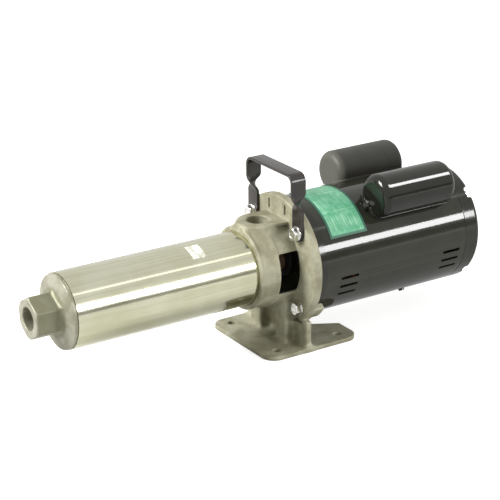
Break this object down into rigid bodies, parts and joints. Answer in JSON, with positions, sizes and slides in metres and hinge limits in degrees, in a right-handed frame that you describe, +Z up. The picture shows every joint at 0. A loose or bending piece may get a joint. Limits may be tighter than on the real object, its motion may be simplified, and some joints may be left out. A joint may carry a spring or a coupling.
{
  "type": "multistage booster pump",
  "caption": "Horizontal booster pump: a tubular stack of impeller stages, a cast suction bracket on a bolted foot, and a round electric motor with two capacitor covers.",
  "frame": {"origin": "centre of the four foot holes, on the floor under the bracket", "axes": "+X along the shaft towards the motor, +Z up along the suction port, +Y across"},
  "size_m": [0.656, 0.18, 0.2433],
  "materials": {
    "casting": "pale grey cast iron, sand-cast grain, clear coat",
    "head_casting": "pale grey cast iron, machined flats",
    "stainless": "drawn tube, satin with long streaks",
    "inner_stainless": "stamped, satin",
    "stage_plastic": "moulded engineering plastic",
    "rubber": "black rubber",
    "ceramic": "ground ceramic ring",
    "seal_face": "carbon ring in a rubber bellows",
    "handle_steel": "black oxide steel strap",
    "zinc_steel": "bright zinc plate",
    "cast_black": "die-cast aluminium, gloss black paint",
    "motor_black": "rolled steel, gloss black paint",
    "cover_black": "pressed steel, gloss black paint",
    "lamination": "stacked steel laminations",
    "winding": "varnished enamelled copper wire",
    "bearing_steel": "ground bearing steel",
    "board": "brown phenolic moulding",
    "capacitor_can": "drawn can filled with wound foil and paper",
    "plate_green": "blank anodised plate",
    "shaft_steel": "ground stainless bar",
    "coupling_steel": "brown oxide steel"
  },
  "bodies": {
    "housing": {"suction_bracket": "casting", "shell_tube": "stainless", "discharge_head": "head_casting", "head_o_ring": "rubber", "socket_o_ring": "rubber", "inlet_plate": "inner_stainless", "diffuser_1": "stage_plastic", "diffuser_2": "stage_plastic", "diffuser_3": "stage_plastic", "diffuser_4": "stage_plastic", "diffuser_5": "stage_plastic", "diffuser_6": "stage_plastic", "diffuser_7": "stage_plastic", "diffuser_8": "stage_plastic", "bearing_spider": "inner_stainless", "shaft_bushing": "rubber", "seal_seat": "ceramic", "carrying_handle": "handle_steel", "flange_bolts": "zinc_steel", "flange_washers": "zinc_steel", "front_end_bell": "cast_black", "motor_shell": "motor_black", "rear_end_bell": "cast_black", "terminal_cover": "motor_black", "stator_core": "lamination", "stator_windings": "winding", "front_bearing": "bearing_steel", "rear_bearing": "bearing_steel", "preload_washer": "bearing_steel", "switch_plate": "board", "through_bolts": "zinc_steel", "start_capacitor_cover": "cover_black", "run_capacitor_cover": "cover_black", "start_capacitor": "capacitor_can", "run_capacitor": "capacitor_can", "cover_screws": "zinc_steel", "nameplate": "plate_green", "inlet_plug": "rubber", "ground_screw": "zinc_steel"},
    "shaft": {"pump_shaft": "shaft_steel", "impeller_1": "stage_plastic", "impeller_2": "stage_plastic", "impeller_3": "stage_plastic", "impeller_4": "stage_plastic", "impeller_5": "stage_plastic", "impeller_6": "stage_plastic", "impeller_7": "stage_plastic", "impeller_8": "stage_plastic", "journal_sleeve": "shaft_steel", "shaft_nut": "shaft_steel", "seal_head": "seal_face", "coupling": "coupling_steel", "coupling_screws": "coupling_steel", "slinger": "rubber", "motor_shaft": "shaft_steel", "rotor_core": "lamination", "front_inner_race": "bearing_steel", "rear_inner_race": "bearing_steel", "switch_governor": "bearing_steel"},
    "governor_collar": {"governor_collar": "board"}
  },
  "joints": [
    {"name": "shaft_spin", "type": "hinge", "parent": "housing", "child": "shaft", "pos_m": [0, 0, 0.11], "axis": [1, 0, 0], "continuous": true},
    {"name": "governor_slide", "type": "slide", "parent": "shaft", "child": "governor_collar", "axis": [-1, 0, 0], "range_m": [0, 0.003], "stiffness_N_per_m": 400, "springref_m": -0.002}
  ]
}
